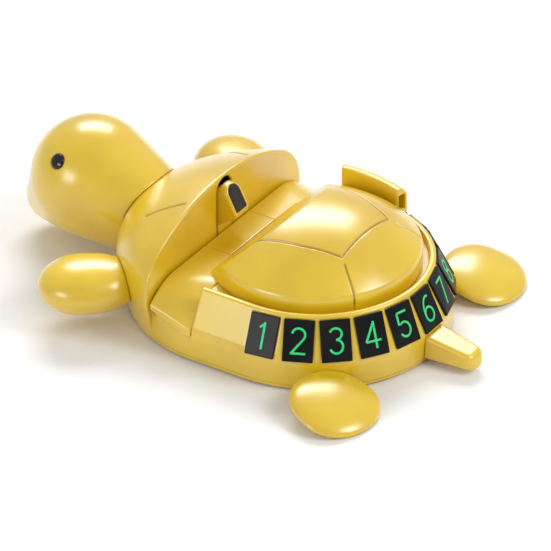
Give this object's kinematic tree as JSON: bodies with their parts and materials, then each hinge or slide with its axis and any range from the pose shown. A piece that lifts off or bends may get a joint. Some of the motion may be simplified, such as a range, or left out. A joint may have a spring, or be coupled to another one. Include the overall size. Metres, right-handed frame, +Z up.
{
  "type": "game spinner",
  "caption": "Turtle-shaped tabletop game spinner: a thumb lever in the shell picks one of the numbered windows round its rear edge.",
  "frame": {"origin": "centre of the whole turtle's box, on the table it stands on", "axes": "+X towards the tail, -X towards the head, +Z up, +Y the turtle's right side"},
  "size_m": [0.268, 0.1872, 0.0698],
  "materials": {
    "shell_plastic": "glossy moulded plastic",
    "window_plastic": "glossy smoked plastic",
    "numeral_green": "satin ink",
    "eye_black": "glossy",
    "grip_rubber": "matte",
    "foot_rubber": "matte",
    "steel": "zinc plated",
    "switch_plastic": "matte",
    "board": "lacquered board",
    "lamp_resin": "clear resin",
    "speaker_black": "matte",
    "cell_sleeve": "printed sleeve"
  },
  "bodies": {
    "turtle": {"base_pan": "shell_plastic", "upper_shell": "shell_plastic", "rear_shell": "shell_plastic", "lever_cover": "shell_plastic", "head": "shell_plastic", "eye_left": "eye_black", "eye_right": "eye_black", "flipper_front_left": "shell_plastic", "flipper_front_right": "shell_plastic", "flipper_rear_left": "shell_plastic", "flipper_rear_right": "shell_plastic", "tail": "shell_plastic", "number_tile_1": "window_plastic", "number_tile_2": "window_plastic", "number_tile_3": "window_plastic", "number_tile_4": "window_plastic", "number_tile_5": "window_plastic", "number_tile_6": "window_plastic", "number_tile_7": "window_plastic", "number_tile_8": "window_plastic", "number_tile_9": "window_plastic", "number_tile_10": "window_plastic", "number_tile_11": "window_plastic", "numerals": "numeral_green", "lever_pin": "steel", "lever_spring": "steel", "trigger_switch": "switch_plastic", "circuit_board": "board", "indicator_lamps": "lamp_resin", "board_screws": "steel", "loudspeaker": "speaker_black", "battery_cells": "cell_sleeve", "battery_contacts": "steel", "battery_door": "shell_plastic", "battery_door_screw": "steel", "case_screws": "steel", "dome_screws": "steel", "limb_screws": "steel", "rubber_feet": "foot_rubber", "power_switch_body": "switch_plastic"},
    "lever_arm": {"lever": "shell_plastic", "lever_pad": "grip_rubber"},
    "power_knob": {"power_switch_knob": "switch_plastic"}
  },
  "joints": [
    {"name": "lever_push", "type": "hinge", "parent": "turtle", "child": "lever_arm", "pos_m": [-0.012, 0, 0.022], "axis": [0, -1, 0], "range_deg": [0, 12], "stiffness_Nm_per_rad": 0.12, "springref_deg": -11.46, "deforming": ["lever_spring"]},
    {"name": "power_slide", "type": "slide", "parent": "turtle", "child": "power_knob", "axis": [1, 0, 0], "range_m": [0, 0.004]}
  ]
}
